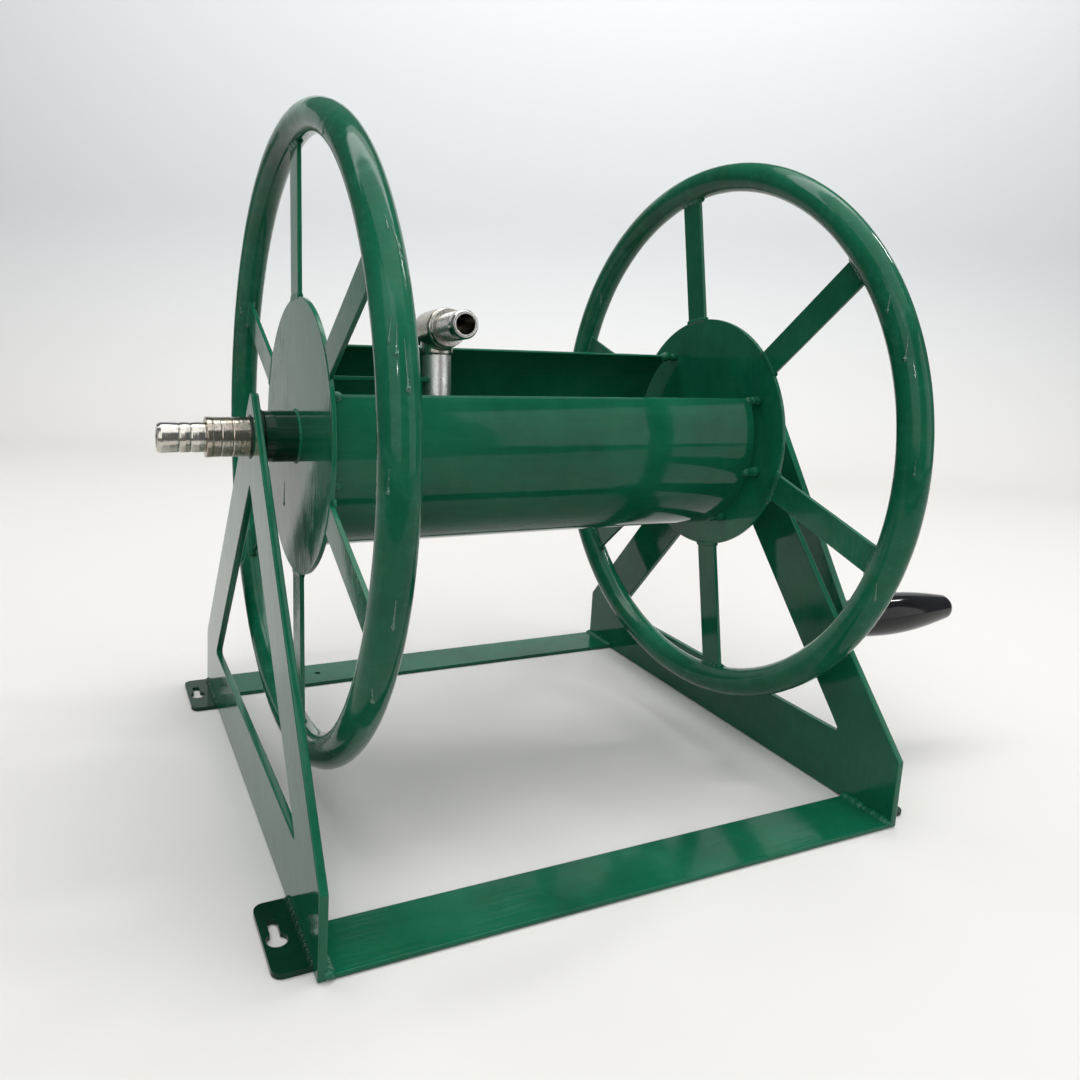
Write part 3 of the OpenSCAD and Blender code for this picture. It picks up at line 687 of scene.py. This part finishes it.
# where they lie: distances in metres, shares of a bar's width or of a full turn, tack ends in degrees
weldPlaces = {
    "overlap": 1.5, "railInset": 0.0011, "railEnd": 0.002, "railLean": 0.3, "earInset": 0.0003, "earEnd": 0.003,
    "spokeSink": 0.0004, "spokeShare": 0.45, "spokeLean": 0.6, "proudSpokes": (1, 4), "proudShare": 0.5,
    "filletSink": 0.0001, "filletShare": 0.49, "roundShare": 0.995,
    "tackCount": 7, "tackEnd": 1.5, "tackOnDisc": 0.0028, "tackOnSheet": 0.0012,
    "armSink": 0.0012, "armRadius": 0.0108, "armLean": 0.6,
}
weldTree = weldBeadTree(weldPlaces["overlap"])


def addWelds(name, kind, paths, finish, body, *replaced):
    mesh = grownMesh(weldTree, paths, "beadUp", {**weldBeads[kind], "Finish": finish})
    addPiece(name, mesh, None, body, "enamel", *replaced)


def straightPath(start, end, up, count=6):
    start, end, up = Vector(start), Vector(end), Vector(up).normalized()
    return [(start.lerp(end, i / count), tuple(up)) for i in range(count + 1)]


railPaths, earPaths = [], []
for side, sign in sides.items():
    for end in ("front", "rear"):
        low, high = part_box(end + "_rail")
        x, inset = sign * (high.x - weldPlaces["railInset"]), weldPlaces["railEnd"]
        railPaths.append(straightPath((x, low.y + inset, high.z), (x, high.y - inset, high.z),
                                      (-weldPlaces["railLean"] * sign, 0, 1)))
        low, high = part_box(f"{end}_{side}_ear")
        x, inset = (low.x if sign > 0 else high.x) + sign * weldPlaces["earInset"], weldPlaces["earEnd"]
        earPaths.append(straightPath((x, low.y + inset, high.z), (x, high.y - inset, high.z), (sign, 0, 1)))
addWelds("railWelds", "rail", railPaths, enamelWeld, "frame")
# the ear welds take the painted shade of the ears
addWelds("earWelds", "ear", earPaths, enamelHubShade, "frame")


def arcPath(x, radius, middle, half, up, count=8):
    path = []
    for i in range(count + 1):
        turn = middle + half * (2 * i / count - 1)
        radial = Vector((0, math.sin(turn), math.cos(turn)))
        point = onReel(x, radius * radial.y, radius * radial.z)
        normal = reelMatrix.to_3x3() @ (Vector((up[0], 0, 0)) + radial * up[1])
        path.append((point, tuple(normal.normalized())))
    return path


spokePaths, filletPaths, sleevePaths, tackPaths = [], [], [], {"left": [], "right": []}
spokeWidth, spokeHalf = wheelMake["spokeWidth"], wheelMake["spokeHalf"]
allRound = math.pi * weldPlaces["roundShare"]
for side, sign in sides.items():
    for i in range(wheelMake["spokes"]):
        turn = wheelLean[side] + math.radians(360 / wheelMake["spokes"]) * i
        for face in (-1, 1):
            reach = rimRadius - math.sqrt(tubeRadius ** 2 - spokeHalf ** 2)
            spokePaths.append(arcPath(wheelX[side] + face * spokeHalf, reach - weldPlaces["spokeSink"], turn,
                                      weldPlaces["spokeShare"] * spokeWidth / reach,
                                      (face, -weldPlaces["spokeLean"])))
        if i in weldPlaces["proudSpokes"]:  # the other joints were dressed flush
            spokePaths.append(arcPath(wheelX[side] - sign * spokeHalf, discRadius, turn,
                                      weldPlaces["proudShare"] * spokeWidth / discRadius, (-sign, 0)))
        for face in (-1, 1):
            filletPaths.append(arcPath(wheelX[side] + face * (spokeHalf - weldPlaces["filletSink"]), discRadius,
                                       turn, weldPlaces["filletShare"] * spokeWidth / discRadius, (face, 0)))
    faceX = wheelX[side] + sign * spokeHalf
    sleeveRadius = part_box(side + "_sleeve")[1].z - axle.z
    sleevePaths.append(arcPath(faceX, sleeveRadius, 0, allRound, (sign, 1), 60))
    low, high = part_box(side + "_tacks")
    onDisc, onSheet = (high.x, low.x) if sign > 0 else (low.x, high.x)
    # the beads stay inside the disc
    ends = (onDisc - sign * weldPlaces["tackOnDisc"], onSheet - sign * weldPlaces["tackOnSheet"])
    arc = 180 + drumSheet["frontLip"] + drumSheet["rearLip"] - 2 * weldPlaces["tackEnd"]
    radius = drumSheet["radius"] - drumSheet["thickness"] / 2
    for k in range(weldPlaces["tackCount"]):
        turn = math.radians(-90 + drumSheet["frontLip"] - weldPlaces["tackEnd"]
                            - arc * k / (weldPlaces["tackCount"] - 1))
        radial = Vector((0, math.sin(turn), math.cos(turn)))
        points = [onReel(x, radius * radial.y, radius * radial.z) for x in ends]
        tackPaths[side].append(straightPath(points[0], points[1], reelMatrix.to_3x3() @ radial, 4))
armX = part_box("crank_arm")[1].x
sleevePaths.append(arcPath(armX - weldPlaces["armSink"], weldPlaces["armRadius"], 0, allRound,
                           (1, weldPlaces["armLean"]), 48))
addWelds("spokeWelds", "spoke", spokePaths, enamelWeld, "reel")
addWelds("spokeFillets", "fillet", filletPaths, enamelUpright, "reel")
addWelds("sleeveWelds", "sleeve", sleevePaths, enamelWeld, "reel")
for side in sides:
    addWelds(side + "TackWelds", side + "Tack", tackPaths[side], enamelWeld, "reel", side + "_tacks")


# paint runs that set while they ran down
def paintRunTree():
    tree, given, result = newTree("paintRun", [("Sides", "NodeSocketInt"), ("Finish", "NodeSocketMaterial")])
    line = addNode(tree, "GeometryNodeMeshToCurve", {"Mesh": given["Geometry"]})
    size = addNode(tree, "GeometryNodeInputNamedAttribute", {"Name": "runRadius"}, data_type="FLOAT")
    ring = addNode(tree, "GeometryNodeCurvePrimitiveCircle", {"Resolution": given["Sides"], "Radius": 1.0})
    swept = addNode(tree, "GeometryNodeCurveToMesh", {
        "Curve": line.outputs[0], "Profile Curve": ring.outputs[0], "Scale": size.outputs[0],
        "Fill Caps": True})
    return endTree(tree, swept, given, result)


paintRun = {"sides": 10, "step": 0.0008, "root": 0.25, "growth": 0.45, "bead": 0.5, "beadPlace": 0.9,
            "beadLength": 0.09, "tipFall": 9, "tipLeft": 0.15, "ripple": 0.22, "ripplePace": 1.15,
            "rimSink": 0.4, "flatSink": 0.45, "drift": 0.0008, "driftPace": 2.5}
# wheel side, place round the rim, place round the tube (degrees), length, thickness
rimRuns = [
    ("left", -60, 12, 0.015, 0.0014), ("left", -58.5, 0, 0.009, 0.0011), ("left", -63, 20, 0.008, 0.0010),
    ("left", -73, -24, 0.014, 0.0012), ("left", -76, 3, 0.026, 0.0014), ("left", -74, -12, 0.017, 0.0013),
    ("left", -92, -46, 0.012, 0.0011), ("left", -109, -8, 0.018, 0.0012), ("left", -124, -28, 0.012, 0.0012),
    ("left", 57, -120, 0.012, 0.0012), ("left", 122, -150, 0.014, 0.0012), ("left", -32, -60, 0.010, 0.0011),
    ("right", -64, -52, 0.012, 0.0012), ("right", -72, -40, 0.016, 0.0013), ("right", -93, -46, 0.010, 0.0011),
    ("right", -116, -66, 0.014, 0.0012), ("right", 75, 60, 0.014, 0.0013), ("right", 118, 70, 0.012, 0.0012),
    ("right", 48, -130, 0.012, 0.0012)]
# across and up on the left disc's outer face, length, thickness
discRuns = [(-0.052, -0.030, 0.020, 0.0011), (-0.060, -0.024, 0.012, 0.0010), (-0.040, -0.042, 0.026, 0.0011),
            (-0.066, -0.012, 0.015, 0.0010), (0.030, -0.036, 0.018, 0.0011)]


# thin at the top, with a bead at the lower end
def runRadius(thick, t):
    make = paintRun
    bead = make["bead"] * math.exp(-((t - make["beadPlace"]) / make["beadLength"]) ** 2)
    tip = min(1, (1 - t) * make["tipFall"] + make["tipLeft"])
    return thick * (make["root"] + make["growth"] * t + bead) * tip


def rimRun(side, around, roll, length, thick):
    down = reelMatrix.to_3x3().inverted() @ Vector((0, 0, -1))
    around, roll = math.radians(around), math.radians(roll)
    step, path = paintRun["step"], []
    count = int(length / step)
    for i in range(count + 1):
        ringward = Vector((0, math.sin(around), math.cos(around)))
        along = Vector((0, math.cos(around), -math.sin(around)))
        normal = Vector((math.sin(roll), 0, 0)) + ringward * math.cos(roll)
        across = Vector((math.cos(roll), 0, 0)) - ringward * math.sin(roll)
        radius = runRadius(thick, i / count) * (1 + paintRun["ripple"] * math.sin(i * paintRun["ripplePace"]))
        depth = tubeRadius - paintRun["rimSink"] * radius
        place = Vector((wheelX[side], 0, 0)) + ringward * rimRadius + normal * depth
        path.append((reelMatrix @ place, radius))
        pull = Vector((down.dot(along), down.dot(across))).normalized() * step
        around += pull.x / (rimRadius + tubeRadius * math.cos(roll))
        roll += pull.y / tubeRadius
    return path


def flatRun(start, outward, length, thick, seed):
    path = []
    count = int(length / paintRun["step"])
    for i in range(count + 1):
        t = i / count
        radius = runRadius(thick, t)
        drift = paintRun["drift"] * noise.noise(Vector((seed, t * paintRun["driftPace"], 0)))
        place = start + Vector((0, drift, -length * t)) - outward * (paintRun["flatSink"] * radius)
        path.append((place, radius))
    return path


runPaths = [rimRun(*run) for run in rimRuns]
discX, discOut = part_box("left_disc")[0].x, Vector((-1, 0, 0))
for i, (across, up, length, thick) in enumerate(discRuns):
    runPaths.append(flatRun(Vector((discX, axle.y + across, axle.z + up)), discOut, length, thick, i))
addPiece("paintRuns", grownMesh(paintRunTree(), runPaths, "runRadius", {
    "Sides": paintRun["sides"], "Finish": enamelRun}), None, "reel", "enamel")
print("paint runs:", len(runPaths))

# floor and backdrop, square to the camera, in a darker room
studio = {"floorColor": (0.83, 0.815, 0.785), "wallColor": (0.80, 0.825, 0.83), "wallHeight": 0.5,
          "bounceColor": (0.31, 0.295, 0.265), "paperRough": 0.9, "paperGloss": 0.1,
          "yaw": 0.432, "near": -0.75, "far": 1.9, "left": -2.1, "right": 2.2, "rise": 1.45, "bend": 0.6,
          "bendSteps": 12, "sink": 0.0004, "room": (0.30, 0.31, 0.33), "roomStrength": 0.5}


# a sheet of paper that lies under the object and curves up behind it
def sweepMesh():
    make = studio
    foot = make["far"] - make["bend"]
    line = [(make["near"], 0.0), (foot, 0.0)]
    for i in range(1, make["bendSteps"] + 1):
        turn = math.pi / 2 * i / make["bendSteps"]
        line.append((foot + make["bend"] * math.sin(turn), make["bend"] * (1 - math.cos(turn))))
    line.append((make["far"], make["rise"]))
    turned = Matrix.Rotation(-make["yaw"], 3, "Z")
    points = [turned @ Vector((x, y, z - make["sink"])) for y, z in line for x in (make["left"], make["right"])]
    faces = [(2 * i, 2 * i + 1, 2 * i + 3, 2 * i + 2) for i in range(len(line) - 1)]
    mesh = bpy.data.meshes.new("studioSweep")
    mesh.from_pydata([tuple(point) for point in points], [], faces)
    mesh.shade_smooth()
    return mesh


# pale to the camera and in reflections, darker for the light it throws back
def paperMaterial():
    material, tree, shader = newMaterial("studioPaper")
    seen = addNode(tree, "ShaderNodeLightPath").outputs
    shown = addNode(tree, "ShaderNodeMath", {
        0: seen["Is Camera Ray"], 1: seen["Is Glossy Ray"]}, operation="MAXIMUM").outputs[0]
    shown = addNode(tree, "ShaderNodeMath", {
        0: shown, 1: seen["Is Transmission Ray"]}, operation="MAXIMUM").outputs[0]
    place = addNode(tree, "ShaderNodeNewGeometry").outputs["Position"]
    height = addNode(tree, "ShaderNodeSeparateXYZ", {0: place}).outputs["Z"]
    tone = mixedColor(tree, mapped(tree, height, (0.0, studio["wallHeight"]), (0, 1)),
                      studio["floorColor"], studio["wallColor"])
    tree.links.new(mixedColor(tree, shown, studio["bounceColor"], tone), shader.inputs["Base Color"])
    shader.inputs["Roughness"].default_value = studio["paperRough"]
    shader.inputs["Specular IOR Level"].default_value = studio["paperGloss"]
    return material


sweep = bpy.data.objects.new("studioSweep", sweepMesh())
scene.collection.objects.link(sweep)
sweep.data.materials.append(paperMaterial())

world = bpy.data.worlds.new("studioRoom")
world.use_nodes = True
world.node_tree.nodes["Background"].inputs[0].default_value = (*studio["room"], 1)
world.node_tree.nodes["Background"].inputs[1].default_value = studio["roomStrength"]
scene.world = world

# place, target, width, height and power of each light
softBoxes = {
    "overhead": ((0.15, -0.3, 2.3), (0.1, 0.0, 0.0), 3.0, 3.0, 40.0),
    "frontLeft": ((-1.5, -1.9, 1.4), (0.0, 0.0, 0.25), 2.5, 2.5, 26.0),
    "frontRight": ((1.8, -1.9, 0.86), (0.1, 0.0, 0.6), 1.8, 1.7, 11.0),
    "sideRight": ((2.4, 0.0, 2.25), (0.0, 0.0, 0.25), 0.14, 0.6, 11.0),
    "backdrop": ((0.05, 0.6, 2.4), (0.3, 1.85, 0.5), 3.6, 0.8, 32.0),
    "glint": ((-0.9, -2.05, 1.3), (-0.1, -0.1, 0.3), 0.07, 0.07, 2.4),
}
for name, (place, target, width, height, power) in softBoxes.items():
    lamp = bpy.data.lights.new(name, "AREA")
    lamp.shape = "RECTANGLE"
    lamp.size, lamp.size_y, lamp.energy = width, height, power
    box = bpy.data.objects.new(name, lamp)
    scene.collection.objects.link(box)
    box.location = place
    box.rotation_euler = (Vector(target) - Vector(place)).to_track_quat("-Z", "Y").to_euler()

# focal length and centre in pixels of the photograph's frame, sensor in millimetres
photoView = {"place": (-0.30405, -0.57067, 0.32672), "yaw": 0.432, "pitch": -0.1556, "roll": 0.049,
             "focal": 879.67, "centre": (472.92, 457.40), "frame": 1080.0, "sensor": 36.0, "clip": 0.01}


def photoCamera():
    view = photoView
    yaw, pitch, roll = view["yaw"], view["pitch"], view["roll"]
    ahead = Vector((math.sin(yaw) * math.cos(pitch), math.cos(yaw) * math.cos(pitch), math.sin(pitch)))
    level = Vector((math.cos(yaw), -math.sin(yaw), 0))
    above = level.cross(ahead)
    right = level * math.cos(roll) + above * math.sin(roll)
    up = above * math.cos(roll) - level * math.sin(roll)
    data = bpy.data.cameras.new("photoCamera")
    data.sensor_fit = "HORIZONTAL"
    data.sensor_width = view["sensor"]
    data.lens = view["sensor"] * view["focal"] / view["frame"]
    data.shift_x = 0.5 - view["centre"][0] / view["frame"]
    data.shift_y = view["centre"][1] / view["frame"] - 0.5
    data.clip_start = view["clip"]
    camera = bpy.data.objects.new("photoCamera", data)
    scene.collection.objects.link(camera)
    turn = Matrix((right, up, -ahead)).transposed().to_4x4()
    camera.matrix_world = Matrix.Translation(view["place"]) @ turn
    scene.camera = camera


photoCamera()
scene.view_settings.view_transform = "Standard"
print("studio set")
